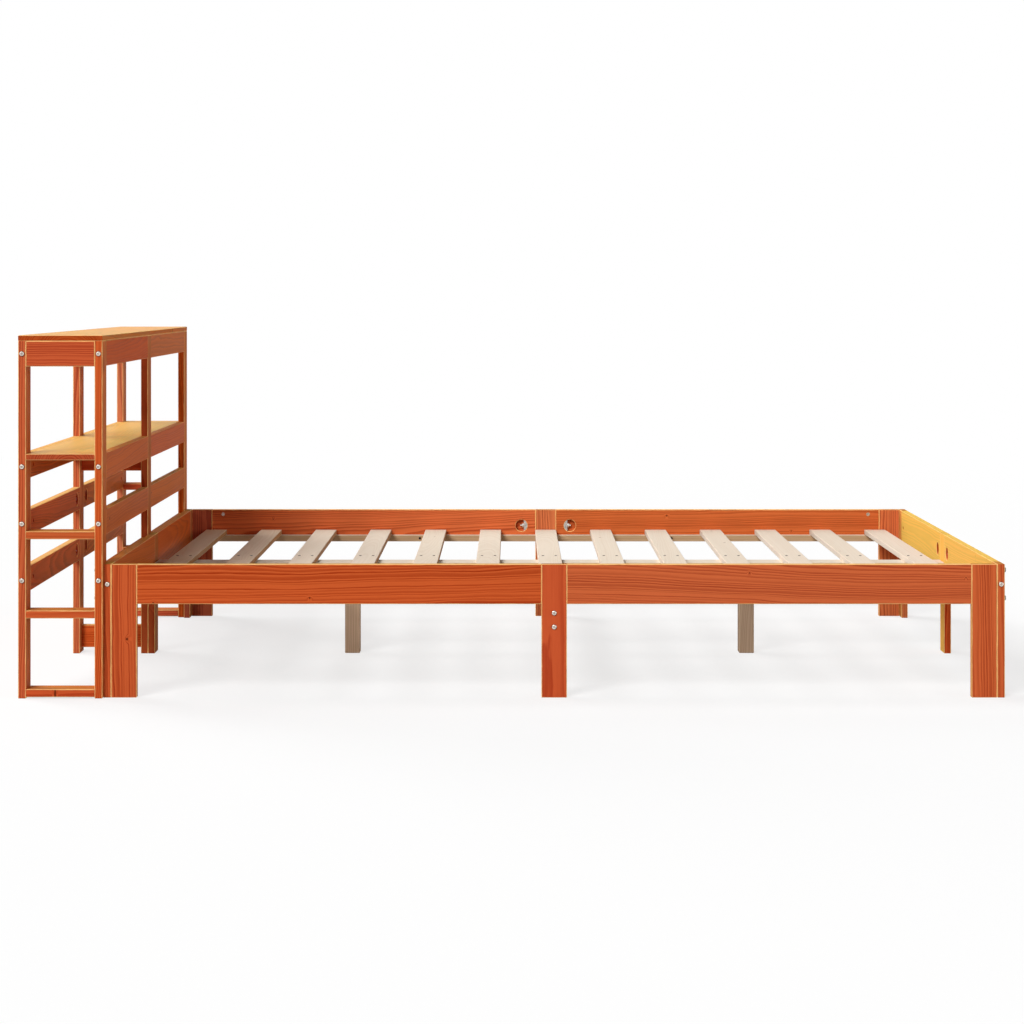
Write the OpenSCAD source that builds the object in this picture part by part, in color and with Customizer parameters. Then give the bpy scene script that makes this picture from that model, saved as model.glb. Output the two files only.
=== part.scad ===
// Double bed frame with an open bookcase behind its head, bolted together from pine boards.
// Lengths are in millimetres. X runs from the bookcase to the foot of the bed, Y from the near
// side to the far side, and Z up from the floor. The origin is at the middle of the footprint.

/* [Boards] */
// Thickness of the leg boards, rails and rungs
board_t = 18; // [17:0.5:21]
// Width of the leg boards and rungs
leg_w = 58; // [54:1:66]
// Height of the side and end rails of the bed
rail_h = 91; // [86:1:110]
// Height of the rails, aprons and stretcher of the bookcase
case_rail_h = 58; // [50:1:66]
// Width of the centre beam, of the cross beam and of the board that carries the shelf
beam_w = 76; // [70:1:88]
// Radius of the long edges, eased when the boards are planed
edge_r = 2; // [1:0.5:3]
// Size of the small bevel around the ends of the boards and around the pockets
end_cut = 1; // [0.5:0.5:2]

/* [Bed frame] */
// Length of the bed, from the outer face of its head to the outer face of its foot
bed_l = 2055; // [1955:5:2155]
// Width of the bed over its side rails
bed_w = 1455; // [1305:5:1655]
// Height of the legs and of the top of the rails
bed_h = 304; // [280:1:360]
// Thickness of the centre beam, which lies flat
beam_t = 18; // [17:0.5:22]
// Width of a support leg along the bed
support_l = 38; // [30:1:50]
// Depth of a support leg across the bed
support_w = 45; // [30:1:60]

/* [Slats] */
// Side of the square battens that carry the ends of the slats
batten_t = 18; // [16:1:22]
// Height of the underside of the battens over the underside of the rails
batten_lift = 2; // [0:0.5:6]
// Length by which a batten stops short of the head and the foot
batten_short = 22; // [10:1:60]
// Width of a slat
slat_w = 60; // [50:1:70]
// Thickness of a slat
slat_t = 14; // [12:0.5:18]
// Distance from the middle of one slat to the middle of the next
slat_pitch = 156.5; // [145:0.5:158]
// Clearance between each end of a slat and the side rail
slat_play = 2; // [1:0.5:6]

/* [Bookcase] */
// Depth of the bookcase
case_d = 192; // [160:1:260]
// Width of the bookcase
case_w = 1481; // [1465:1:1491]
// Height of the legs of the bookcase, without the top
case_leg_h = 813; // [740:1:950]
// Thickness of the top
top_t = 13; // [12:0.5:20]
// Thickness of the shelf
shelf_t = 14; // [12:0.5:20]
// Height of the upper face of the shelf
shelf_z = 556; // [545:1:600]
// Height of the middle of the upper lattice rail
upper_rail_z = 397; // [385:1:405]
// Height of the middle of the lower lattice rail
lower_rail_z = 268; // [262:1:275]
// Height of the underside of the lowest rung
foot_rung_z = 3; // [0:1:30]
// Height of the underside of the middle rung
middle_rung_z = 182; // [120:1:200]
// Height of the underside of the highest rung
high_rung_z = 362; // [350:1:370]
// Height of the underside of the stretcher between the two middle legs
stretcher_z = 13; // [3:1:60]

/* [Fasteners] */
// Diameter of the bolts and of the link studs
bolt_d = 6; // [5:0.5:7]
// Diameter of a bolt head
head_d = 12; // [10:0.5:13]
// Height of a bolt head
head_h = 3.3; // [2.5:0.1:4.5]
// Diameter of a barrel nut
nut_d = 10; // [9:0.5:11]
// Length of a barrel nut
nut_l = 14; // [12:0.5:15]
// Distance of a barrel nut from the joint that it pulls together
nut_in = 31; // [24:1:36]
// Spacing of the two bolts at each corner of the bed
corner_gap = 64; // [50:1:66]
// Spacing of the two bolts at each end of the cross beam and of the centre beam
beam_gap = 32; // [28:1:36]
// Diameter of the pockets that take the half-moon nuts
pocket_d = 34; // [30:1:36]
// Depth of the pockets
pocket_h = 14; // [13.5:0.5:15]
// Distance of the middle of a pocket from the joint
pocket_in = 40; // [32:1:50]
// Diameter of the dowels
dowel_d = 8; // [6:0.5:8]
// Length of the dowels
dowel_l = 30; // [26:1:34]
// Spacing of the two dowels in the end of a board
dowel_gap = 28; // [26:1:30]
// Diameter of the screws
screw_d = 4; // [3:0.5:4.5]
// Diameter of the screw heads
screw_head_d = 7; // [6:0.5:8]

/* [Hidden] */
$fn = 48;
sides = ["near", "far"];
ends = ["head", "foot"];
columns = ["near", "middle", "far"];
frames = ["back", "front"];
levels = ["top", "shelf", "upper", "lower"];
slat_n = 13;
function two_digits(n) = n < 10 ? str("0", n) : str(n);

stain = "#bf5428";
raw_pine = "#e0d2b8";
steel = "#c4c6c8";
beech = "#d6b583";

// Play around metal in wood, between pieces of metal, and between boards that meet end to end
drill_play = 0.5;
metal_play = 0.1;
seam = 0.3;
// How far a cutting shape runs past the face that it cuts
past = 1;

// Places along X
bed_mid = (case_d - head_h) / 2;
case_mid = bed_mid - (bed_l + case_d) / 2;
half_l = bed_l / 2;
half_w = bed_w / 2;
half_d = case_d / 2;
half_case_w = case_w / 2;
rail_end = half_l - board_t - leg_w;
inside_l = half_l - board_t;
inside_w = half_w - board_t;

// Heights
rail_z = bed_h - rail_h;
rail_mid = bed_h - rail_h / 2;
batten_z = rail_z + batten_lift;
slat_z = batten_z + batten_t;
slat_top = slat_z + slat_t;
beam_z = slat_z - beam_t;
cross_z = beam_z - beam_w;
apron_z = case_leg_h - case_rail_h;
shelf_under = shelf_z - shelf_t;
rung_zs = [foot_rung_z, middle_rung_z, high_rung_z];
function level_z(level) =
  level == "top" ? case_leg_h - case_rail_h / 2 :
  level == "shelf" ? shelf_z - case_rail_h / 2 :
  level == "upper" ? upper_rail_z : lower_rail_z;

// Bolts: how far they reach past the barrel nut, and the boards that they hold
bolt_past = 8;
corner_grip = board_t + leg_w;
case_grip = leg_w;
function corner_seat(end) = end == "head" ? board_t : 0;

// Link studs: how far they reach past the middle of a pocket, half their length, and their nuts
stud_past = 3;
stud_half = leg_w / 2 + pocket_in + stud_past;
moon_w = 9;
moon_cut = 2;
hex_w = 10;
hex_t = 5;

// Screws: how far they stop short of the far face, how far those in the ends of the support
// legs and in the cross beam reach into them, and their places. The heads in the slats and
// the battens stand up in a low dome.
screw_head_h = 3;
screw_dome_h = 1.2;
screw_short = 4;
beam_screw_in = 30;
slat_screw_l = slat_t + beam_t - screw_short;
batten_screw_l = batten_t + board_t - screw_short;
beam_screw_l = beam_t + beam_screw_in;
slat_screw_gap = 33;
batten_screw_xs = [150, 358, 775];
leg_screw_gap = 24;

// Dowels: how deep they sit in the face of a board, and those along the shelf
dowel_face = 12;
top_dowel_up = 8;
shelf_dowel_ys = [180, 560];
function slat_x(i) = (i - (slat_n + 1) / 2) * slat_pitch;

// Section of a planed board with eased edges
module eased(a, b) {
  translate([edge_r, 0]) square([a - 2 * edge_r, b]);
  translate([0, edge_r]) square([a, b - 2 * edge_r]);
  for (x = [edge_r, a - edge_r], y = [edge_r, b - edge_r])
    translate([x, y]) circle(edge_r);
}

// Outline of one side of a board with its ends bevelled
module bevelled(a, l) {
  polygon([[end_cut, 0], [a - end_cut, 0], [a, end_cut], [a, l - end_cut],
    [a - end_cut, l], [end_cut, l], [0, l - end_cut], [0, end_cut]]);
}

// Board that runs up from the origin, of section a by b
module board(a, b, l) {
  intersection() {
    linear_extrude(l) eased(a, b);
    translate([0, b, 0]) rotate([90, 0, 0]) linear_extrude(b) bevelled(a, l);
    rotate([90, 0, 90]) linear_extrude(a) bevelled(b, l);
  }
}

// Board between two places on each axis, with its grain along one of them
module plank(x, y, z, grain) {
  size = [x[1] - x[0], y[1] - y[0], z[1] - z[0]];
  translate([x[0], y[0], z[0]]) {
    if (grain == "x")
      rotate([90, 0, 90]) board(size[1], size[2], size[0]);
    if (grain == "y")
      translate([0, size[1], 0]) rotate([90, 0, 0]) board(size[0], size[2], size[1]);
    if (grain == "z")
      board(size[0], size[1], size[2]);
  }
}

// A quarter of the bed is drawn at the near side of the foot, from the middle of the bed,
// and a quarter of the bookcase at the near side of its back. Both are mirrored from there.
module at_bed(end, side = "near") {
  translate([bed_mid, 0, 0])
    mirror([end == "head" ? 1 : 0, 0, 0])
      mirror([0, side == "far" ? 1 : 0, 0]) children();
}

module at_case(frame, side = "near") {
  translate([case_mid, 0, 0])
    mirror([frame == "front" ? 1 : 0, 0, 0])
      mirror([0, side == "far" ? 1 : 0, 0]) children();
}

// Fasteners are drawn along +Z from the joint's seat, with nut holes and pockets open to +X.
function bolt_l(grip) = grip + nut_in + bolt_past;

module bolt(grip) {
  rim = head_h / 5;
  socket_r = head_d / 4;
  land_r = head_d / 3;
  dome = [for (a = [0 : 15 : 90])
    [land_r + (head_d / 2 - land_r) * cos(a), -rim - (head_h - rim) * sin(a)]];
  difference() {
    union() {
      cylinder(d = bolt_d, h = bolt_l(grip));
      rotate_extrude() polygon(concat([[0, 0], [head_d / 2, 0]], dome, [[0, -head_h]]));
    }
    translate([0, 0, -head_h - past]) cylinder(r = socket_r, h = head_h - rim + past, $fn = 6);
  }
}

module barrel_nut(grip) {
  slot_w = 1.4;
  translate([0, 0, grip + nut_in])
    difference() {
      rotate([0, 90, 0]) cylinder(d = nut_d, h = nut_l, center = true);
      translate([0, 0, -nut_d]) cylinder(r = bolt_d / 2 + metal_play, h = 2 * nut_d);
      translate([nut_l / 2 - slot_w, -nut_d, -slot_w / 2]) cube([2 * slot_w, 2 * nut_d, slot_w]);
    }
}

module bolt_hole(grip) {
  translate([0, 0, -past]) cylinder(r = bolt_d / 2 + drill_play, h = bolt_l(grip) + 2 * past);
  translate([-nut_l / 2 - past, 0, grip + nut_in])
    rotate([0, 90, 0]) cylinder(r = nut_d / 2 + metal_play, h = nut_l / 2 + board_t + past);
}

// Places of the bolts
module corner_bolts(end, side) {
  for (s = [-1, 1])
    at_bed(end, side)
      translate([half_l + corner_seat(end), -half_w + board_t / 2, rail_mid + s * corner_gap / 2])
        rotate([0, -90, 0]) rotate([0, 0, 90]) children();
}

module end_bolts(end, side) {
  at_bed(end, side)
    translate([half_l - board_t / 2, -half_w, rail_mid])
      rotate([-90, 0, 0]) rotate([0, 0, end == "head" ? 0 : 180]) children();
}

module cross_bolts(side) {
  for (s = [-1, 1])
    at_bed("foot", side)
      translate([0, -half_w, cross_z + beam_w / 2 + s * beam_gap / 2])
        rotate([-90, 0, 0]) children();
}

module beam_bolts(end) {
  for (s = [-1, 1])
    at_bed(end)
      translate([half_l + corner_seat(end), s * beam_gap / 2, beam_z + beam_t / 2])
        rotate([0, -90, 0]) rotate([0, 0, 180]) children();
}

module case_bolts(frame, side, level) {
  at_case(frame, side)
    translate([-half_d + board_t / 2, -half_case_w, level_z(level)])
      rotate([-90, 0, 0]) children();
}

// Stud through a middle leg, with a half-moon nut and a hexagon nut in a pocket at each end
module link_stud() {
  pocket_z = leg_w / 2 + pocket_in;
  moon_r = pocket_d / 2 - metal_play;
  cylinder(d = bolt_d, h = 2 * stud_half, center = true);
  for (s = [0, 1]) mirror([0, 0, s]) {
    difference() {
      translate([0, 0, pocket_z]) rotate([0, 90, 0]) cylinder(r = moon_r, h = moon_w, center = true);
      translate([0, 0, pocket_z + pocket_d / 2 - moon_cut - hex_t])
        cube([2 * moon_w, 2 * pocket_d, pocket_d], center = true);
      cylinder(r = bolt_d / 2 + metal_play, h = 2 * pocket_z);
    }
    translate([0, 0, pocket_z - moon_cut - hex_t + metal_play])
      difference() {
        cylinder(d = hex_w / cos(30), h = hex_t, $fn = 6);
        translate([0, 0, -past]) cylinder(r = bolt_d / 2 + metal_play, h = hex_t + 2 * past);
      }
  }
}

module link_hole() {
  cylinder(r = bolt_d / 2 + drill_play, h = 2 * (stud_half + past), center = true);
  for (s = [-1, 1])
    translate([board_t / 2, 0, s * (leg_w / 2 + pocket_in)]) {
      translate([-pocket_h, 0, 0]) rotate([0, 90, 0]) cylinder(d = pocket_d, h = pocket_h + past);
      translate([-end_cut, 0, 0]) rotate([0, 90, 0])
        cylinder(d1 = pocket_d, d2 = pocket_d + 2 * (end_cut + past), h = end_cut + past);
    }
}

module side_links(side) {
  at_bed("foot", side)
    translate([0, -half_w + board_t / 2, rail_mid])
      rotate([0, 90, 0]) rotate([0, 0, 90]) children();
}

module end_links(end) {
  at_bed(end)
    translate([half_l - board_t / 2, 0, rail_mid])
      rotate([-90, 0, 0]) rotate([0, 0, end == "head" ? 0 : 180]) children();
}

module case_links(frame, level) {
  at_case(frame)
    translate([-half_d + board_t / 2, 0, level_z(level)])
      rotate([-90, 0, 0]) children();
}

// Countersunk screw, drawn along +Z from the face that its head is flush with, or stands up
// from in a dome
module screw(l, dome_h = 0) {
  cross_w = 0.9;
  cross_l = screw_head_d / 2;
  dome = [for (a = [0 : 15 : 90]) [screw_head_d / 2 * cos(a), -dome_h * sin(a)]];
  difference() {
    union() {
      if (dome_h > 0) rotate_extrude() polygon(concat([[0, 0]], dome));
      cylinder(d1 = screw_head_d, d2 = screw_d, h = screw_head_h);
      cylinder(d = screw_d, h = l - screw_d);
      translate([0, 0, l - screw_d]) cylinder(d1 = screw_d, d2 = screw_d / 4, h = screw_d);
    }
    for (a = [0, 90])
      rotate([0, 0, a]) cube([cross_l, cross_w, screw_head_h], center = true);
  }
}

module screw_hole(l) {
  translate([0, 0, -metal_play])
    cylinder(d1 = screw_head_d + 4 * metal_play, d2 = screw_d, h = screw_head_h + 2 * metal_play);
  translate([0, 0, -past]) cylinder(d = screw_head_d + 4 * metal_play, h = past);
  cylinder(r = screw_d / 2 + metal_play, h = l + past);
}

module slat_screws(i) {
  for (s = [-1, 1])
    at_bed("foot")
      translate([slat_x(i) + s * slat_screw_gap / 2, 0, slat_top]) rotate([180, 0, 0]) children();
}

module batten_screws(end, side) {
  for (x = batten_screw_xs)
    at_bed(end, side)
      translate([x, -inside_w + batten_t, batten_z + batten_t / 2])
        rotate([90, 0, 0]) children();
}

module leg_screws(end) {
  for (s = [-1, 1])
    at_bed(end)
      translate([inside_l / 2, s * leg_screw_gap / 2, slat_z]) rotate([180, 0, 0]) children();
}

module cross_screws(end) {
  at_bed(end) translate([board_t / 4, 0, slat_z]) rotate([180, 0, 0]) children();
}

// Dowel between a face, in which it sits to one depth, and the end of a board beyond it
module dowel(face = dowel_face) {
  translate([0, 0, -face]) cylinder(d = dowel_d, h = dowel_l);
}

module dowel_hole(face = dowel_face) {
  translate([0, 0, -face - drill_play])
    cylinder(r = dowel_d / 2 + metal_play, h = dowel_l + 2 * drill_play);
}

// Places of the dowels
module rung_dowels(frame, side) {
  for (z = rung_zs, s = [-1, 1])
    at_case(frame, side)
      translate([-half_d + board_t, -half_case_w + leg_w / 2 + s * dowel_gap / 2, z + board_t / 2])
        rotate([0, 90, 0]) children();
}

module apron_dowels(frame, side) {
  for (s = [-1, 1])
    at_case(frame, side)
      translate([-half_d + board_t, -half_case_w + board_t / 2, level_z("top") + s * dowel_gap / 2])
        rotate([0, 90, 0]) children();
}

module cross_board_dowels(frame) {
  middles = [level_z("top"), shelf_under - beam_w / 2, stretcher_z + case_rail_h / 2];
  for (z = middles, s = [-1, 1])
    at_case(frame)
      translate([-half_d + board_t, 0, z + s * dowel_gap / 2]) rotate([0, 90, 0]) children();
}

module shelf_dowels(frame, side) {
  for (y = shelf_dowel_ys)
    at_case(frame, side)
      translate([-half_d + board_t, -y, shelf_z - shelf_t / 2]) rotate([0, 90, 0]) children();
}

module top_dowels(frame, side) {
  for (y = [half_case_w - leg_w / 2, leg_w / 4])
    at_case(frame, side)
      translate([-half_d + board_t / 2, -y, case_leg_h]) children();
}

// Rails and legs of the bed
module side_rail(side, end) {
  color(stain)
    difference() {
      at_bed(end, side)
        plank([leg_w / 2, rail_end], [-half_w, -inside_w], [rail_z, bed_h], "x");
      corner_bolts(end, side) bolt_hole(corner_grip + corner_seat(end));
      side_links(side) link_hole();
      batten_screws(end, side) screw_hole(batten_screw_l);
    }
}

module end_rail(end, side) {
  color(stain)
    difference() {
      at_bed(end, side)
        plank([inside_l, half_l], [-half_w + leg_w, -leg_w / 2], [rail_z, bed_h], "y");
      end_bolts(end, side) bolt_hole(leg_w);
      end_links(end) link_hole();
    }
}

module corner_leg(side, end) {
  color(stain)
    difference() {
      at_bed(end, side) {
        plank([inside_l + seam, half_l], [-half_w, -half_w + leg_w], [0, bed_h], "z");
        plank([rail_end, inside_l], [-half_w, -inside_w], [0, bed_h], "z");
      }
      corner_bolts(end, side) bolt_hole(corner_grip + corner_seat(end));
      end_bolts(end, side) bolt_hole(leg_w);
    }
}

module side_centre_leg(side) {
  color(stain)
    difference() {
      at_bed("foot", side)
        plank([-leg_w / 2, leg_w / 2], [-half_w, -inside_w], [0, bed_h], "z");
      side_links(side) link_hole();
      cross_bolts(side) bolt_hole(board_t);
    }
}

module end_centre_leg(end) {
  color(stain)
    difference() {
      at_bed(end) plank([inside_l, half_l], [-leg_w / 2, leg_w / 2], [0, bed_h], "z");
      end_links(end) link_hole();
      beam_bolts(end) bolt_hole(board_t + corner_seat(end));
    }
}

// Beams, battens and slats of the bed
module centre_beam(end) {
  color(raw_pine)
    difference() {
      at_bed(end)
        plank([seam / 2, inside_l], [-beam_w / 2, beam_w / 2], [beam_z, slat_z], "x");
      beam_bolts(end) bolt_hole(board_t + corner_seat(end));
      for (i = [1 : slat_n]) slat_screws(i) screw_hole(slat_screw_l);
      leg_screws(end) screw_hole(beam_screw_l);
      cross_screws(end) screw_hole(beam_screw_l);
    }
}

module cross_beam() {
  color(raw_pine)
    difference() {
      at_bed("foot")
        plank([-board_t / 2, board_t / 2], [-inside_w, inside_w], [cross_z, beam_z], "y");
      for (s = sides) cross_bolts(s) bolt_hole(board_t);
      for (e = ends) cross_screws(e) screw_hole(beam_screw_l);
    }
}

module support_legs() {
  x = inside_l / 2;
  color(raw_pine)
    for (e = ends)
      difference() {
        at_bed(e)
          plank([x - support_l / 2, x + support_l / 2], [-support_w / 2, support_w / 2], [0, beam_z], "z");
        leg_screws(e) screw_hole(beam_screw_l);
      }
}

module batten(side) {
  color(raw_pine)
    for (e = ends)
      difference() {
        at_bed(e, side)
          plank([seam / 2, inside_l - batten_short], [-inside_w, -inside_w + batten_t],
            [batten_z, slat_z], "x");
        batten_screws(e, side) screw_hole(batten_screw_l);
      }
}

module slat(i) {
  x = slat_x(i);
  color(raw_pine)
    difference() {
      at_bed("foot")
        plank([x - slat_w / 2, x + slat_w / 2], [-inside_w + slat_play, inside_w - slat_play],
          [slat_z, slat_top], "y");
      slat_screws(i) screw_hole(slat_screw_l);
    }
}

// Frames of the bookcase
module case_leg(frame, column) {
  color(stain)
    difference() {
      if (column == "middle")
        at_case(frame)
          plank([-half_d, -half_d + board_t], [-leg_w / 2, leg_w / 2], [0, case_leg_h], "z");
      else
        at_case(frame, column)
          plank([-half_d, -half_d + board_t], [-half_case_w, -half_case_w + leg_w],
            [0, case_leg_h], "z");
      if (column == "middle") {
        for (l = levels) case_links(frame, l) link_hole();
        cross_board_dowels(frame) dowel_hole();
        if (frame == "front") beam_bolts("head") bolt_hole(2 * board_t);
        for (s = sides) top_dowels(frame, s) dowel_hole(dowel_l - top_dowel_up);
      } else {
        for (l = levels) case_bolts(frame, column, l) bolt_hole(case_grip);
        rung_dowels(frame, column) dowel_hole();
        apron_dowels(frame, column) dowel_hole();
        if (frame == "front")
          corner_bolts("head", column) bolt_hole(corner_grip + corner_seat("head"));
        top_dowels(frame, column) dowel_hole(dowel_l - top_dowel_up);
      }
    }
}

module case_rail(frame, level) {
  z = level_z(level);
  color(stain)
    for (s = sides)
      difference() {
        at_case(frame, s)
          plank([-half_d, -half_d + board_t], [-half_case_w + leg_w, -leg_w / 2],
            [z - case_rail_h / 2, z + case_rail_h / 2], "y");
        case_bolts(frame, s, level) bolt_hole(case_grip);
        case_links(frame, level) link_hole();
        if (level == "shelf") shelf_dowels(frame, s) dowel_hole();
      }
}

// Boards between the two frames of the bookcase
module case_top() {
  color(stain)
    for (s = sides)
      difference() {
        at_case("back", s)
          plank([-half_d, half_d], [-half_case_w, -seam / 2], [case_leg_h, case_leg_h + top_t], "y");
        for (f = frames) top_dowels(f, s) dowel_hole(dowel_l - top_dowel_up);
      }
}

module case_shelf() {
  color(stain)
    for (s = sides)
      difference() {
        at_case("back", s)
          plank([-half_d + board_t, half_d - board_t], [-half_case_w, -seam / 2],
            [shelf_under, shelf_z], "y");
        for (f = frames) shelf_dowels(f, s) dowel_hole();
      }
}

module ladder_rungs(side) {
  color(stain)
    difference() {
      at_case("back", side)
        for (z = rung_zs)
          plank([-half_d + board_t, half_d - board_t], [-half_case_w, -half_case_w + leg_w],
            [z, z + board_t], "x");
      for (f = frames) rung_dowels(f, side) dowel_hole();
    }
}

module case_aprons() {
  color(stain)
    for (s = sides)
      difference() {
        at_case("back", s)
          plank([-half_d + board_t, half_d - board_t], [-half_case_w, -half_case_w + board_t],
            [apron_z, case_leg_h], "x");
        for (f = frames) apron_dowels(f, s) dowel_hole();
      }
}

module case_cross_boards() {
  spans = [
    [apron_z, case_leg_h],
    [shelf_under - beam_w, shelf_under],
    [stretcher_z, stretcher_z + case_rail_h]
  ];
  color(stain)
    difference() {
      at_case("back")
        for (z = spans)
          plank([-half_d + board_t, half_d - board_t], [-board_t / 2, board_t / 2], z, "x");
      for (f = frames) cross_board_dowels(f) dowel_hole();
    }
}

// Fasteners, each kind as a group of separate pieces
module corner_and_end_bolts(end, side) {
  corner_bolts(end, side) children(0);
  end_bolts(end, side) children(1);
}

module bolts() {
  color(steel) {
    for (s = sides, e = ends)
      corner_and_end_bolts(e, s) {
        bolt(corner_grip + corner_seat(e));
        bolt(leg_w);
      }
    for (s = sides) cross_bolts(s) bolt(board_t);
    for (e = ends) beam_bolts(e) bolt(board_t + corner_seat(e));
    for (f = frames, s = sides, l = levels) case_bolts(f, s, l) bolt(case_grip);
  }
}

module barrel_nuts() {
  color(steel) {
    for (s = sides, e = ends)
      corner_and_end_bolts(e, s) {
        barrel_nut(corner_grip + corner_seat(e));
        barrel_nut(leg_w);
      }
    for (s = sides) cross_bolts(s) barrel_nut(board_t);
    for (e = ends) beam_bolts(e) barrel_nut(board_t + corner_seat(e));
    for (f = frames, s = sides, l = levels) case_bolts(f, s, l) barrel_nut(case_grip);
  }
}

module link_studs() {
  color(steel) {
    for (s = sides) side_links(s) link_stud();
    for (e = ends) end_links(e) link_stud();
    for (f = frames, l = levels) case_links(f, l) link_stud();
  }
}

module screws() {
  color(steel) {
    for (i = [1 : slat_n]) slat_screws(i) screw(slat_screw_l, screw_dome_h);
    for (e = ends, s = sides) batten_screws(e, s) screw(batten_screw_l, screw_dome_h);
    for (e = ends) leg_screws(e) screw(beam_screw_l);
    for (e = ends) cross_screws(e) screw(beam_screw_l);
  }
}

module dowels() {
  color(beech)
    for (f = frames) {
      for (s = sides) {
        rung_dowels(f, s) dowel();
        apron_dowels(f, s) dowel();
        shelf_dowels(f, s) dowel();
        top_dowels(f, s) dowel(dowel_l - top_dowel_up);
      }
      cross_board_dowels(f) dowel();
    }
}

for (s = sides, e = ends)
  side_rail(s, e);
for (e = ends, s = sides)
  end_rail(e, s);
for (s = sides, e = ends)
  corner_leg(s, e);
for (s = sides)
  side_centre_leg(s);
for (e = ends)
  end_centre_leg(e);
for (e = ends)
  centre_beam(e);
cross_beam();
support_legs();
for (s = sides)
  batten(s);
for (i = [1 : slat_n])
  slat(i);
for (f = frames, c = columns)
  case_leg(f, c);
for (f = frames, l = levels)
  case_rail(f, l);
case_top();
case_shelf();
for (s = sides)
  ladder_rungs(s);
case_aprons();
case_cross_boards();
bolts();
barrel_nuts();
link_studs();
screws();
dowels();
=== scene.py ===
# Looks of a double bed frame in stained pine, with an open bookcase behind its head.
# Lengths are in metres. X runs from the bookcase to the foot of the bed and Z up.
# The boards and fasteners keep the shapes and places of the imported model. Here they get
# their finishes, and the floor, the lamps and the camera are added.
import math
import random

import bpy
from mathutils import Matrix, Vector

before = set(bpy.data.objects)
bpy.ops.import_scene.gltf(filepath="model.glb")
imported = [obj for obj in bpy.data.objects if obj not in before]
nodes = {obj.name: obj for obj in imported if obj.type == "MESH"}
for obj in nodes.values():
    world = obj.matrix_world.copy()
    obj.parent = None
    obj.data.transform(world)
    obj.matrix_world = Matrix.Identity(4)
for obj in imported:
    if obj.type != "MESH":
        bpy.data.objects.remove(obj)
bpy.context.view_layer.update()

# The way that the grain runs, for each kind of board. In the legs it runs up.
GRAIN_ALONG_X = ("side_rail", "centre_beam", "batten", "ladder_rungs", "case_aprons",
                 "case_cross_boards")
GRAIN_ALONG_Y = ("head_rail", "foot_rail", "cross_beam", "slat", "case_rail", "case_top",
                 "case_shelf")
# Tones of single boards: turn of the hue, change of strength, change of brightness. A number
# picks one board of a node. The other boards draw theirs from the spread. Some listed changes
# are painted shade and painted light: slat 1 and the support leg at the foot are darkened as
# painted shade, the support leg at the head is lightened as painted light where a shadow falls
# on it, and slats 2 and 3 and the far rail at the head are lightened as painted light against
# the bookcase's shadow.
TONES_AND_PAINTED_LIGHT = {
    "side_rail_near_head": (0.0, 0.01, 0.0),
    "side_rail_near_foot": (0.003, -0.02, 0.0),
    "side_rail_far_head": (0.005, -0.02, 0.15),
    "side_rail_far_foot": (0.007, -0.01, 0.1),
    "centre_leg_near": (-0.003, 0.0, -0.03),
    "centre_leg_far": (0.01, -0.05, 0.06),
    "centre_leg_head": (0.0, 0.0, -0.3),
    "corner_leg_near_head": (0.0, 0.0, -0.03),
    "corner_leg_near_foot": (0.002, -0.01, 0.0),
    "corner_leg_far_head": (0.0, -0.06, -0.2),
    "corner_leg_far_foot": (0.009, -0.04, 0.14),
    "case_leg_front_middle": (0.0, 0.0, -0.2),
    "case_leg_back_middle": (0.004, -0.04, 0.0),
    "case_leg_back_far": (0.01, -0.09, 0.0),
    "support_legs 0": (0.0, 0.0, 0.4),
    "support_legs 1": (0.0, 0.0, -0.25),
    "slat_01": (0.0, 1.3, -0.3),
    "slat_02": (0.0, 0.7, 0.35),
    "slat_03": (0.0, 0.1, 0.3),
}
TONE_SPREAD = (0.014, 0.05, 0.1)
# Each board is sawn from its own place in a log of this size, given in shares of it. One
# place was chosen for its figure, and the others are drawn by lot.
LOG_SIZE = (19.0, 17.0, 23.0)
PLACES = {"side_rail_near_head": (0.97, 0.8, 0.45)}
# Radii of a bolt's hexagonal hollow, and of the shoulder of its head, where the dome is steep
BOLT_HOLLOW = 0.003
BOLT_SHOULDER = 0.0052
# Ways that a face can look. Upward narrow sides get painted highlight, and sides toward the
# # foot painted shade
UP = (0.0, 0.0, 1.0)
TOWARD_FOOT = (1.0, 0.0, 0.0)


# the boards' own directions

def grain_axis(name):
    """0, 1 or 2, where the grain runs along X, Y or Z."""
    if name.startswith(GRAIN_ALONG_X):
        return 0
    if name.startswith(GRAIN_ALONG_Y):
        return 1
    return 2


def separate_solids(mesh):
    """Vertex numbers of each separate solid in a mesh. Corners at one place belong together."""
    places = {}
    at = [places.setdefault(tuple(round(c, 5) for c in v.co), len(places))
          for v in mesh.vertices]
    leader = list(range(len(places)))

    def lead(i):
        while leader[i] != i:
            leader[i] = leader[leader[i]]
            i = leader[i]
        return i

    for polygon in mesh.polygons:
        first = lead(at[polygon.vertices[0]])
        for v in polygon.vertices:
            leader[lead(at[v])] = first
    groups = {}
    for v, place in enumerate(at):
        groups.setdefault(lead(place), []).append(v)
    return list(groups.values())


def middle_and_half(mesh, members):
    """The middle of one solid and half its size, along each axis."""
    corners = [mesh.vertices[v].co for v in members]
    low = [min(c[a] for c in corners) for a in range(3)]
    high = [max(c[a] for c in corners) for a in range(3)]
    return ([(low[a] + high[a]) / 2 for a in range(3)],
            [(high[a] - low[a]) / 2 for a in range(3)])


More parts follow.
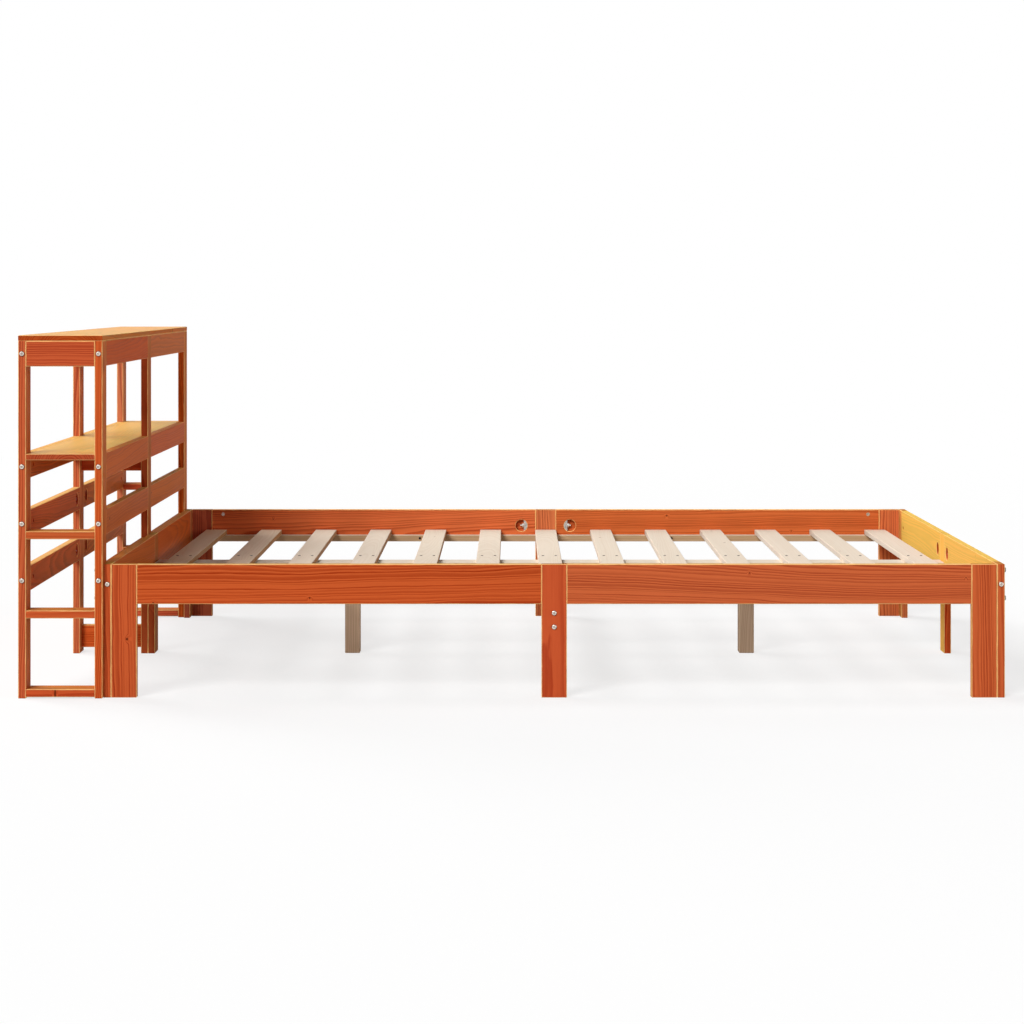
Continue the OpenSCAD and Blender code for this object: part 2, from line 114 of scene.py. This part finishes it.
def mark_boards(name, mesh):
    """Notes on each board where a point lies in it: along the grain, across it and through
    the thickness. Also half its size, which way it runs, which way it is thin, its place in
    the log, and its tone, which on some boards holds painted shade or painted light."""
    size = len(mesh.vertices)
    lie, half, run, thin, draw, tone = ([0.0] * (3 * size) for _ in range(6))
    along = grain_axis(name)
    for number, members in enumerate(separate_solids(mesh)):
        middle, reach = middle_and_half(mesh, members)
        across, through = sorted((a for a in range(3) if a != along), key=lambda a: -reach[a])
        board = f"{name} {number}"
        chance = random.Random(board)
        drawn = PLACES.get(name) or [chance.random() for _ in range(3)]
        toned = TONES_AND_PAINTED_LIGHT.get(board) or TONES_AND_PAINTED_LIGHT.get(name) or [
            spread * (chance.random() - 0.5) for spread in TONE_SPREAD]
        for v in members:
            for k, axis in enumerate((along, across, through)):
                lie[3 * v + k] = mesh.vertices[v].co[axis] - middle[axis]
                half[3 * v + k] = reach[axis]
                draw[3 * v + k] = drawn[k]
                tone[3 * v + k] = toned[k]
            run[3 * v + along] = 1.0
            thin[3 * v + through] = 1.0
    for label, values in (("lie", lie), ("half", half), ("run", run), ("thin", thin),
                          ("draw", draw), ("tone", tone)):
        mesh.attributes.new(label, "FLOAT_VECTOR", "POINT").data.foreach_set("vector", values)


def mark_bolts(mesh):
    """Notes how far each point of a bolt is from the bolt's own axis."""
    core = [0.0] * len(mesh.vertices)
    for members in separate_solids(mesh):
        middle, reach = middle_and_half(mesh, members)
        long = max(range(3), key=lambda a: reach[a])
        a, b = (k for k in range(3) if k != long)
        for v in members:
            co = mesh.vertices[v].co
            core[v] = math.hypot(co[a] - middle[a], co[b] - middle[b])
    mesh.attributes.new("core", "FLOAT", "POINT").data.foreach_set("value", core)


# placing and joining shader nodes

def put(tree, kind, sockets=None, **settings):
    """A new shader node, with each socket linked, or set where a plain value is given."""
    made = tree.nodes.new("ShaderNode" + kind)
    for label, value in settings.items():
        setattr(made, label, value)
    for key, value in (sockets or {}).items():
        if isinstance(value, bpy.types.NodeSocket):
            tree.links.new(value, made.inputs[key])
        else:
            made.inputs[key].default_value = value
    return made


def calc(tree, operation, *values, clamp=False):
    return put(tree, "Math", dict(enumerate(values)), operation=operation,
               use_clamp=clamp).outputs[0]


def vector_calc(tree, operation, *values):
    made = put(tree, "VectorMath", dict(enumerate(values)), operation=operation)
    return made.outputs["Value" if operation in ("DOT_PRODUCT", "LENGTH") else "Vector"]


def parts_of(tree, vector):
    return put(tree, "SeparateXYZ", {0: vector}).outputs


def blend(tree, share, first, second, way="MIX"):
    """Mix of two colours, which are the node's inputs 6 and 7 and its output 2."""
    return put(tree, "Mix", {0: share, 6: first, 7: second}, data_type="RGBA",
               blend_type=way).outputs[2]


def ramp(tree, value, start, end, low=0.0, high=1.0):
    """Smooth step from low at start to high at end."""
    return put(tree, "MapRange", {"Value": value, "From Min": start, "From Max": end,
                                  "To Min": low, "To Max": high},
               interpolation_type="SMOOTHSTEP").outputs[0]


def noise(tree, place, per_metre, detail=2.0, rough=0.5, output=0):
    """Noise with so many grains in a metre, along each axis, or along all alike."""
    grains = per_metre if isinstance(per_metre, tuple) else (per_metre,) * 3
    return put(tree, "TexNoise", {"Vector": vector_calc(tree, "MULTIPLY", place, grains),
                                  "Scale": 1.0, "Detail": detail,
                                  "Roughness": rough}).outputs[output]


def object_place(tree):
    return put(tree, "TexCoord").outputs["Object"]


def new_group(name, inputs, outputs):
    """A shader node group: its tree, the values given to it and the values it puts out."""
    tree = bpy.data.node_groups.new(name, "ShaderNodeTree")
    for label, kind, value in inputs:
        socket = tree.interface.new_socket(label, in_out="INPUT", socket_type="NodeSocket" + kind)
        if value is not None:
            socket.default_value = value
    for label, kind in outputs:
        tree.interface.new_socket(label, in_out="OUTPUT", socket_type="NodeSocket" + kind)
    return (tree, tree.nodes.new("NodeGroupInput").outputs,
            tree.nodes.new("NodeGroupOutput").inputs)


def put_out(tree, out, values):
    """Links values to what a group puts out."""
    for label, value in values.items():
        tree.links.new(value, out[label])


def use_group(tree, group, sockets):
    return put(tree, "Group", sockets, node_tree=group).outputs


def new_material(name):
    """A material, its tree and the sockets of its shader."""
    material = bpy.data.materials.new(name)
    material.use_nodes = True
    tree = material.node_tree
    return material, tree, tree.nodes["Principled BSDF"].inputs


def set_sockets(shader, values):
    for label, value in values.items():
        shader[label].default_value = value


def srgb(red, green, blue):
    """Linear colour of an 8-bit screen colour."""
    def one(c):
        c /= 255
        return c / 12.92 if c <= 0.04045 else ((c + 0.055) / 1.055) ** 2.4
    return (one(red), one(green), one(blue), 1.0)


WHITE = (1.0, 1.0, 1.0, 1.0)
# Colour of grazing light on varnish
GOLD = (1.0, 0.8, 0.16, 1.0)


# pine: rings, knots and fibres

def knot_masks(tree, place, share):
    """Masks of knots, which run through the thickness, and of the swelling around them. The
    share says how many of the places for a knot have one."""
    knots_per_metre, least_knot, knot_spread = 6.0, 0.0012, 0.0032
    # How far out, in radii of a knot, it is fully dark and the wood around it swells
    dark_to, swell_to = 0.7, 4.0
    ragged_depth = 0.5
    cells = put(tree, "TexVoronoi", {"Vector": place, "Scale": knots_per_metre},
                voronoi_dimensions="2D").outputs
    chance = put(tree, "SeparateColor", {0: cells["Color"]}).outputs
    ragged = calc(tree, "MULTIPLY_ADD", noise(tree, place, 160.0), ragged_depth,
                  1.0 - ragged_depth / 2)
    reach = calc(tree, "DIVIDE", cells["Distance"], knots_per_metre)
    reach = calc(tree, "MULTIPLY", reach, ragged)
    knot_r = calc(tree, "MULTIPLY_ADD", chance[1], knot_spread, least_knot)
    wanted = calc(tree, "LESS_THAN", chance[0], share)
    knots = ramp(tree, reach, knot_r, calc(tree, "MULTIPLY", knot_r, dark_to))
    swell = ramp(tree, reach, calc(tree, "MULTIPLY", knot_r, swell_to), 0.0)
    return calc(tree, "MULTIPLY", knots, wanted), calc(tree, "MULTIPLY", swell, wanted)


def heart_distance(tree, place, lie, draw):
    """Distance from the heart of the tree, which lies beside the board, leans and wanders."""
    wander, aside, lean, least_deep, deep_spread = 0.07, 0.15, 0.07, 0.02, 0.05
    shift = parts_of(tree, vector_calc(
        tree, "MULTIPLY_ADD", noise(tree, place, (0.8, 1.5, 1.5), detail=1.0, output="Color"),
        (wander,) * 3, (-wander / 2,) * 3))
    sideways = calc(tree, "MULTIPLY_ADD", draw[0], -aside, aside / 2)
    sideways = calc(tree, "ADD", sideways, lie[1])
    sideways = calc(tree, "ADD", sideways, shift[1])
    slope = calc(tree, "MULTIPLY_ADD", draw[2], lean, -lean / 2)
    deep = calc(tree, "MULTIPLY_ADD", slope, lie[0], lie[2])
    deep = calc(tree, "ADD", deep, calc(tree, "MULTIPLY_ADD", draw[1], deep_spread, least_deep))
    deep = calc(tree, "ADD", deep, shift[2])
    return calc(tree, "SQRT", calc(
        tree, "ADD", calc(tree, "MULTIPLY", sideways, sideways),
        calc(tree, "MULTIPLY", deep, deep)))


def ring_mask(tree, place, heart, width, swell):
    """Late wood of the rings, which are of uneven width and ragged along the fibres."""
    # How far rings are pushed out of their place, counted in rings
    most_shake, most_swell, most_uneven = 1.8, 1.3, 2.4
    shake = noise(tree, place, (5.0, 27.0, 27.0), detail=3.0)
    count = calc(tree, "DIVIDE", heart, width)
    count = calc(tree, "ADD", count, calc(tree, "MULTIPLY", shake, most_shake))
    count = calc(tree, "ADD", count, calc(tree, "MULTIPLY", swell, most_swell))
    grains_per_ring = 0.45
    uneven = put(tree, "TexNoise", {"W": calc(tree, "MULTIPLY", count, grains_per_ring),
                                    "Scale": 1.0, "Detail": 1.0},
                 noise_dimensions="1D").outputs[0]
    count = calc(tree, "MULTIPLY_ADD", uneven, most_uneven, count)

    # In each ring the wood darkens slowly and turns pale again at once
    pale_to, dark_from, dark_to = 0.12, 0.78, 0.86
    part = calc(tree, "FRACT", count)
    late = calc(tree, "MULTIPLY", ramp(tree, part, pale_to, dark_from),
                ramp(tree, part, 1.0, dark_to))
    faintest = 0.35
    strength = put(tree, "TexWhiteNoise", {"W": calc(tree, "FLOOR", count)},
                   noise_dimensions="1D").outputs["Value"]
    strength = calc(tree, "MULTIPLY_ADD", strength, 1.0 - faintest, faintest)
    return calc(tree, "MULTIPLY", late, strength)


def make_pine_figure():
    """Masks of a board's late rings, fibres, cloudy patches and knots, and its relief."""
    tree, given, out = new_group(
        "pine_figure",
        [("Lie", "Vector", None), ("Draw", "Vector", None), ("Ring Width", "Float", 0.0055),
         ("Knots Wanted", "Float", 0.5)],
        [("Rings", "Float"), ("Streaks", "Float"), ("Clouds", "Float"), ("Knots", "Float"),
         ("Relief", "Float")])
    place = vector_calc(tree, "MULTIPLY_ADD", given["Draw"], LOG_SIZE, given["Lie"])
    knots, swell = knot_masks(tree, place, given["Knots Wanted"])
    heart = heart_distance(tree, place, parts_of(tree, given["Lie"]),
                           parts_of(tree, given["Draw"]))
    rings = ring_mask(tree, place, heart, given["Ring Width"], swell)
    streaks = noise(tree, place, (9.0, 330.0, 330.0), detail=3.0, rough=0.6)
    clouds = noise(tree, place, (1.7, 11.0, 11.0))

    streak_height, ring_height, knot_height = 0.00006, 0.00005, 0.0001
    relief = calc(tree, "MULTIPLY_ADD", streaks, streak_height,
                  calc(tree, "MULTIPLY", rings, ring_height))
    relief = calc(tree, "MULTIPLY_ADD", knots, knot_height, relief)
    put_out(tree, out, {"Rings": rings, "Streaks": streaks, "Clouds": clouds, "Knots": knots,
                        "Relief": relief})
    return tree


# edge lines of rubbed stain and painted highlight, sawn ends and narrow sides

def bevel_mask(tree, faces, to_face):
    """Mask of the bevels, which look along no axis. Those that touch no broad face are out."""
    turned, well_turned = 0.008, 0.12
    narrow, toward_face = 0.03, 0.25
    parts = parts_of(tree, vector_calc(tree, "ABSOLUTE", faces))
    most = calc(tree, "MAXIMUM", calc(tree, "MAXIMUM", parts[0], parts[1]), parts[2])
    bevel = ramp(tree, calc(tree, "SUBTRACT", 1.0, most), turned, well_turned)
    return calc(tree, "MULTIPLY", bevel, ramp(tree, to_face, narrow, toward_face))


def line_mask(tree, lie, half, width, patchy):
    """Mask of an uneven line along each long edge, on both of the faces that meet there."""
    inset = parts_of(tree, vector_calc(
        tree, "SUBTRACT", half, vector_calc(tree, "ABSOLUTE", lie)))
    inset = calc(tree, "MAXIMUM", inset[1], inset[2])
    thinnest, widest, fade = 0.75, 1.2, 0.25
    reach = calc(tree, "MULTIPLY", width, ramp(tree, patchy, 0.25, 0.7, thinnest, widest))
    return ramp(tree, inset, calc(tree, "MULTIPLY", reach, 1.0 + fade),
                calc(tree, "MULTIPLY", reach, 1.0 - fade))


def make_board_edges():
    """Masks of a board's edge lines, which are rubbed stain and painted highlight, of its sawn
    ends and of its narrow sides. Narrow sides that look up join the edge lines as painted
    highlight.
    """
    tree, given, out = new_group(
        "board_edges",
        [("Run", "Vector", None), ("Thin", "Vector", None), ("Lie", "Vector", None),
         ("Half", "Vector", None), ("Line Width", "Float", 0.0014), ("Top Highlight", "Float", 0.0)],
        [("Edge", "Float"), ("End", "Float"), ("Side", "Float")])
    # Cosines between the surface and the board's own directions tell its faces apart
    faces = put(tree, "TexCoord").outputs["Normal"]
    to_end = calc(tree, "ABSOLUTE", vector_calc(tree, "DOT_PRODUCT", faces, given["Run"]))
    to_face = calc(tree, "ABSOLUTE", vector_calc(tree, "DOT_PRODUCT", faces, given["Thin"]))
    end = ramp(tree, to_end, 0.6, 0.9)
    side = calc(tree, "SUBTRACT", ramp(tree, to_face, 0.9, 0.3), end, clamp=True)

    patchy = noise(tree, given["Lie"], 22.0, detail=3.0, rough=0.6)
    bevel = bevel_mask(tree, faces, to_face)
    line = line_mask(tree, given["Lie"], given["Half"], given["Line Width"], patchy)
    # Narrow sides that look up get painted highlight all over
    upward = ramp(tree, vector_calc(tree, "DOT_PRODUCT", faces, UP), 0.7, 0.95)
    lit_tops = calc(tree, "MULTIPLY", calc(tree, "MULTIPLY", side, upward), given["Top Highlight"])
    edge = calc(tree, "MAXIMUM", calc(tree, "MAXIMUM", bevel, line), lit_tops)
    least_rubbed_or_lit = 0.75
    edge = calc(tree, "MULTIPLY", edge, ramp(tree, patchy, 0.2, 0.6, least_rubbed_or_lit, 1.0))
    put_out(tree, out, {"Edge": edge, "End": end, "Side": side})
    return tree


# colour and roughness of the boards

def toned_wood(tree, given):
    """Pale wood with darker rings and fibres, cloudy patches and the board's tone, which on some
    boards is painted shade or painted light.
    """
    fibre_depth = 0.55
    noise_middle = 0.5
    rings = calc(tree, "MULTIPLY", given["Rings"], given["Ring Depth"])
    fibres = calc(tree, "SUBTRACT", given["Streaks"], noise_middle)
    fibres = calc(tree, "MULTIPLY", fibres, fibre_depth)
    fibres = calc(tree, "MULTIPLY", fibres, given["Ring Depth"])
    share = calc(tree, "ADD", rings, fibres, clamp=True)
    colour = blend(tree, share, given["Pale"], given["Dark"])

    patch = calc(tree, "SUBTRACT", given["Clouds"], noise_middle)
    patch = calc(tree, "MULTIPLY_ADD", patch, given["Cloud Depth"], 1.0)
    depths = put(tree, "CombineXYZ", {axis: given["Tone Depth"] for axis in range(3)}).outputs[0]
    tone = parts_of(tree, vector_calc(tree, "MULTIPLY", given["Tone"], depths))
    # The node leaves a hue as it is at 0.5, and a strength and a brightness at 1
    return put(tree, "HueSaturation", {
        "Hue": calc(tree, "ADD", tone[0], 0.5), "Saturation": calc(tree, "ADD", tone[1], 1.0),
        "Value": calc(tree, "ADD", patch, tone[2]), "Color": colour}).outputs[0]


def make_board_finish():
    """Colour and roughness of a board from the masks of its figure and edges."""
    tree, given, out = new_group(
        "board_finish",
        [("Pale", "Color", None), ("Dark", "Color", None), ("Knot", "Color", None),
         ("Edge Colour", "Color", None), ("Side Colour", "Color", None),
         ("Ring Depth", "Float", 0.8), ("Cloud Depth", "Float", 0.2),
         ("Tone Depth", "Float", 1.0), ("End Depth", "Float", 0.3),
         ("Side Depth", "Float", 0.0), ("Edge Depth", "Float", 0.9), ("Rough", "Float", 0.45),
         ("Tone", "Vector", None), ("Rings", "Float", 0.0), ("Streaks", "Float", 0.5),
         ("Clouds", "Float", 0.5), ("Knots", "Float", 0.0), ("Edge", "Float", 0.0),
         ("End", "Float", 0.0), ("Side", "Float", 0.0)],
        [("Colour", "Color"), ("Roughness", "Float")])
    colour = toned_wood(tree, given)
    # Sides and ends are tinted, the tint on sides toward the foot being painted shade where a
    # board
    #     # has one, and knots and the edge lines, which are rubbed stain and painted highlight,
    #     have
    #     # colours of their own
    for mask, tint in (("Side", "Side Colour"), ("End", "Dark")):
        depth = calc(tree, "MULTIPLY", given[mask], given[mask + " Depth"])
        tinted = blend(tree, 1.0, colour, given[tint], "MULTIPLY")
        colour = blend(tree, depth, colour, tinted)
    knot_depth = 0.85
    colour = blend(tree, calc(tree, "MULTIPLY", given["Knots"], knot_depth), colour,
                   given["Knot"])
    colour = blend(tree, calc(tree, "MULTIPLY", given["Edge"], given["Edge Depth"]), colour,
                   given["Edge Colour"])

    rough = given["Rough"]
    for mask, change in (("Streaks", 0.14), ("Rings", -0.06), ("End", 0.15)):
        rough = calc(tree, "MULTIPLY_ADD", given[mask], change, rough)
    put_out(tree, out, {"Colour": colour, "Roughness": rough})
    return tree


PINE_FIGURE = make_pine_figure()
BOARD_EDGES = make_board_edges()
BOARD_FINISH = make_board_finish()


# finishes of the boards

def board_material(name, pale, dark, knot, edge, ring_width, knots, ring_depth, cloud_depth,
                   tone_depth, edge_depth, rough, end_depth=0.35, side=WHITE, side_depth=0.0,
                   painted_shade_foot_side=None, top_wear=0.0, shine=0.03, glow=0.0, coat=0.0):
    """Pine that follows the notes on each board. The narrow sides toward the foot of the bed
    may have a darker colour of their own, which is painted shade."""
    material, tree, shader = new_material(name)
    lie, half, run, thin, draw, tone = (
        put(tree, "Attribute", attribute_name=label).outputs["Vector"]
        for label in ("lie", "half", "run", "thin", "draw", "tone"))
    if painted_shade_foot_side:
        faces = put(tree, "TexCoord").outputs["Normal"]
        footward = vector_calc(tree, "DOT_PRODUCT", faces, TOWARD_FOOT)
        side = blend(tree, ramp(tree, footward, -0.5, 0.5), side, painted_shade_foot_side)
    figure = use_group(tree, PINE_FIGURE, {
        "Lie": lie, "Draw": draw, "Ring Width": ring_width, "Knots Wanted": knots})
    edges = use_group(tree, BOARD_EDGES, {
        "Run": run, "Thin": thin, "Lie": lie, "Half": half, "Top Highlight": top_wear})
    masks = {label: figure[label] for label in ("Rings", "Streaks", "Clouds", "Knots")}
    masks.update({label: edges[label] for label in ("Edge", "End", "Side")})
    finish = use_group(tree, BOARD_FINISH, {
        "Pale": pale, "Dark": dark, "Knot": knot, "Edge Colour": edge, "Side Colour": side,
        "Ring Depth": ring_depth, "Cloud Depth": cloud_depth, "Tone Depth": tone_depth,
        "End Depth": end_depth, "Side Depth": side_depth, "Edge Depth": edge_depth,
        "Rough": rough, "Tone": tone, **masks})
    tree.links.new(finish["Colour"], shader["Base Color"])
    tree.links.new(finish["Roughness"], shader["Roughness"])
    set_sockets(shader, {"Specular IOR Level": shine})
    if glow:
        set_sockets(shader, {"Sheen Weight": glow, "Sheen Roughness": 0.5, "Sheen Tint": GOLD})
    if coat:
        # The clear coat lies on the broad faces alone
        narrow = calc(tree, "ADD", edges["Side"], edges["End"])
        broad = calc(tree, "SUBTRACT", 1.0, narrow, clamp=True)
        tree.links.new(calc(tree, "MULTIPLY", broad, coat), shader["Coat Weight"])
        set_sockets(shader, {"Coat Roughness": 0.5})
    grain = put(tree, "Bump", {"Strength": 0.8, "Distance": 1.0, "Height": figure["Relief"]})
    tree.links.new(grain.outputs[0], shader["Normal"])
    return material


def stained(name, glow, **changes):
    """Orange stain under varnish. Light that grazes the varnish turns gold, as the glow says. Its
    pale edge lines are rubbed stain and painted highlight.
    """
    look = dict(
        pale=srgb(208, 94, 50), dark=srgb(162, 52, 23), knot=srgb(84, 26, 10),
        edge=srgb(255, 206, 136), ring_width=0.0058, knots=0.45, ring_depth=0.95,
        cloud_depth=0.22, tone_depth=1.0, edge_depth=0.95, rough=0.4, shine=0.005)
    look.update(changes)
    return board_material(name, glow=glow, **look)


# Its narrow sides that look up get painted highlight
stained_pine = stained("stained_pine", 0.33, top_wear=0.6)
# A lit copy with strong gold sheen, as painted highlight, and a shaded copy with darker colours,
# fainter edge lines and less sheen, as painted shade
golden_lit_pine = stained("golden_lit_pine", 0.95)
painted_shade_pine = stained("painted_shade_pine", 0.17, pale=srgb(202, 91, 46), dark=srgb(160, 52, 22),
                     ring_depth=0.6, edge_depth=0.3)
# The wide boards that things stand on have a clear coat too
top_pine = stained("top_pine", 0.45, coat=1.0)
shelf_pine = stained("shelf_pine", 0.6, coat=1.0)

# The narrow sides toward the foot are darker, as painted shade
raw_pine = board_material(
    "raw_pine", pale=srgb(239, 224, 205), dark=srgb(202, 172, 136), knot=srgb(128, 84, 52),
    edge=srgb(214, 186, 158), ring_width=0.0048, knots=0.3, ring_depth=0.18, cloud_depth=0.1,
    tone_depth=0.4, edge_depth=0.25, rough=0.55, side=srgb(238, 238, 240), side_depth=1.0,
    painted_shade_foot_side=srgb(176, 138, 106))
raw_batten = board_material(
    "raw_batten", pale=srgb(240, 222, 198), dark=srgb(196, 164, 128), knot=srgb(128, 84, 52),
    edge=srgb(240, 230, 214), ring_width=0.0048, knots=0.3, ring_depth=0.4, cloud_depth=0.1,
    tone_depth=0.4, edge_depth=0.3, rough=0.55, side=srgb(214, 190, 164), side_depth=1.0)
tan_pine = board_material(
    "tan_pine", pale=srgb(196, 168, 142), dark=srgb(146, 114, 86), knot=srgb(96, 58, 34),
    edge=srgb(214, 190, 160), ring_width=0.0052, knots=0.4, ring_depth=0.6, cloud_depth=0.2,
    tone_depth=0.6, edge_depth=0.5, rough=0.6)


# finishes of the fasteners

def painted_shade_on_bolt(tree):
    """Mask of painted shade in a bolt's hollow and round the shoulder of its head."""
    core = put(tree, "Attribute", attribute_name="core").outputs["Fac"]
    inner = ramp(tree, core, BOLT_HOLLOW * 1.04, BOLT_HOLLOW * 0.96, 0.0, 0.85)
    outer = ramp(tree, core, BOLT_SHOULDER * 0.85, BOLT_SHOULDER, 0.0, 0.8)
    return calc(tree, "MAXIMUM", inner, outer)


def metal_material(name, bright, dull_colour, metallic=1.0, shine=0.5, shaded_hollows=False):
    """Drawn steel under a thin skin that is dull in places."""
    material, tree, shader = new_material(name)
    place = object_place(tree)
    drawn = noise(tree, place, (900.0, 900.0, 90.0), detail=3.0, rough=0.6)
    dull = noise(tree, place, 160.0, detail=3.0)
    colour = blend(tree, ramp(tree, dull, 0.35, 0.7), bright, dull_colour)
    # Painted shade darkens the bolts' hollows and the shoulders of their heads
    if shaded_hollows:
        colour = blend(tree, painted_shade_on_bolt(tree), colour, srgb(74, 66, 60))
    tree.links.new(colour, shader["Base Color"])
    least_rough, drawn_rough, dull_rough = 0.1, 0.12, 0.2
    rough = calc(tree, "MULTIPLY_ADD", drawn, drawn_rough, least_rough)
    rough = calc(tree, "MULTIPLY_ADD", dull, dull_rough, rough)
    tree.links.new(rough, shader["Roughness"])
    set_sockets(shader, {"Metallic": metallic, "Specular IOR Level": shine})
    skin = put(tree, "Bump", {"Strength": 0.4, "Distance": 0.00005, "Height": drawn})
    tree.links.new(skin.outputs[0], shader["Normal"])
    return material


def beech_material():
    """Pale beech with small brown flecks."""
    material, tree, shader = new_material("beech")
    place = object_place(tree)
    flecks = noise(tree, place, 420.0)
    colour = blend(tree, ramp(tree, flecks, 0.5, 0.72), srgb(222, 188, 140), srgb(176, 132, 86))
    broad = calc(tree, "MULTIPLY", noise(tree, place, 60.0), 0.3)
    tree.links.new(blend(tree, broad, colour, srgb(206, 166, 116)), shader["Base Color"])
    least_rough, fleck_rough = 0.45, 0.2
    rough = calc(tree, "MULTIPLY_ADD", flecks, fleck_rough, least_rough)
    tree.links.new(rough, shader["Roughness"])
    pores = put(tree, "Bump", {"Strength": 0.5, "Distance": 0.0001, "Height": flecks})
    tree.links.new(pores.outputs[0], shader["Normal"])
    return material


bolt_zinc = metal_material("bolt_zinc", srgb(236, 222, 210), srgb(196, 184, 174), shaded_hollows=True)
plain_zinc = metal_material("plain_zinc", srgb(226, 222, 216), srgb(186, 182, 178))
# The screws' black skin hides their steel, and their dark heads also stand in for the shade
# # round them
screw_black = metal_material("screw_black", srgb(58, 48, 40), srgb(42, 34, 28), metallic=0.0,
                             shine=0.03)
beech = beech_material()


# every piece gets its finish

FASTENERS = {"bolts": bolt_zinc, "barrel_nuts": plain_zinc, "link_studs": plain_zinc,
             "screws": screw_black, "dowels": beech}
# Boards whose names start so. The others are of stained pine.
BOARDS = {
    ("slat", "centre_beam"): raw_pine,
    ("batten",): raw_batten,
    ("cross_beam", "support_legs"): tan_pine,
    ("case_top",): top_pine,
    ("case_shelf",): shelf_pine,
    # The foot boards take the lit copy of the stained pine, as painted highlight
    ("foot_rail", "centre_leg_foot"): golden_lit_pine,
    # The head rails and the bookcase's front rails take the shaded copy, as painted shade
    ("head_rail", "case_rail_front"): painted_shade_pine,
}


def finish_of_board(name):
    for starts, finish in BOARDS.items():
        if name.startswith(starts):
            return finish
    return stained_pine


mark_bolts(nodes["bolts"].data)
for name, piece in nodes.items():
    if name in FASTENERS:
        finish = FASTENERS[name]
    else:
        mark_boards(name, piece.data)
        finish = finish_of_board(name)
    for slot in piece.material_slots:
        slot.material = finish


# floor and background

def for_view(tree):
    """1 for the camera and for reflections, and 0 for the light that falls on the object."""
    path = put(tree, "LightPath").outputs
    return calc(tree, "MAXIMUM", path["Is Camera Ray"],
                calc(tree, "MAXIMUM", path["Is Glossy Ray"], path["Is Transmission Ray"]))


def with_white(tree, share, shade):
    """A shade that gives way to plain white light by the share."""
    white = put(tree, "Emission", {"Strength": 1.0}).outputs[0]
    return put(tree, "MixShader", {0: share, 1: shade, 2: white}).outputs[0]


def floor_material():
    """Pale to look at, greyer in the light that it throws back, and plain white far away."""
    thrown_back = (0.5, 0.49, 0.48, 1.0)
    white_near, near, far = 0.72, 1.8, 8.0
    material = bpy.data.materials.new("pale_floor")
    material.use_nodes = True
    tree = material.node_tree
    tree.nodes.clear()
    seen = for_view(tree)
    paint = put(tree, "BsdfDiffuse", {"Color": blend(tree, seen, thrown_back, WHITE)})
    distance = vector_calc(tree, "LENGTH", object_place(tree))
    share = calc(tree, "MULTIPLY", seen, ramp(tree, distance, near, far, white_near, 1.0))
    put(tree, "OutputMaterial", {"Surface": with_white(tree, share, paint.outputs[0])})
    return material


def make_floor():
    half = 40.0
    mesh = bpy.data.meshes.new("floor")
    mesh.from_pydata([(-half, -half, 0), (half, -half, 0), (half, half, 0), (-half, half, 0)],
                     [], [(0, 1, 2, 3)])
    mesh.materials.append(floor_material())
    floor = bpy.data.objects.new("floor", mesh)
    bpy.context.scene.collection.objects.link(floor)


def make_background():
    world = bpy.data.worlds.new("studio")
    world.use_nodes = True
    tree = world.node_tree
    tree.nodes.clear()
    soft = put(tree, "Background", {"Color": (1.0, 0.99, 0.97, 1.0), "Strength": 0.04})
    put(tree, "OutputWorld", {"Surface": with_white(tree, for_view(tree), soft.outputs[0])})
    bpy.context.scene.world = world


make_floor()
make_background()


# lamps and camera

def make_lamp(name, toward, strength, spread):
    """A far lamp in the direction given, seen from the bed. The spread is its width in
    degrees."""
    lamp = bpy.data.lights.new(name, "SUN")
    lamp.energy = strength
    lamp.angle = math.radians(spread)
    made = bpy.data.objects.new(name, lamp)
    made.rotation_euler = Vector(toward).to_track_quat("Z", "Y").to_euler()
    bpy.context.scene.collection.objects.link(made)


def make_camera():
    """A level camera beside the bed, with the photograph's frame."""
    view = bpy.data.cameras.new("camera")
    view.sensor_width = 36.0
    view.lens = 87.82
    view.shift_x = 0.0004
    view.shift_y = -0.2138
    view.clip_end = 200.0
    camera = bpy.data.objects.new("camera", view)
    camera.location = (-0.0027, -6.4205, 0.922)
    camera.rotation_euler = (math.radians(90), 0.0, 0.0)
    bpy.context.scene.collection.objects.link(camera)
    bpy.context.scene.camera = camera


make_lamp("front_lamp", (-0.4, -0.75, 0.57), 2.5, 26)
make_lamp("back_lamp", (-0.72, 0.62, 0.30), 1.75, 30)
make_lamp("top_lamp", (-0.55, 0.25, 0.8), 1.0, 26)
make_lamp("right_lamp", (0.94, -0.3, 0.12), 1.35, 40)
make_camera()
bpy.context.scene.view_settings.view_transform = "Standard"
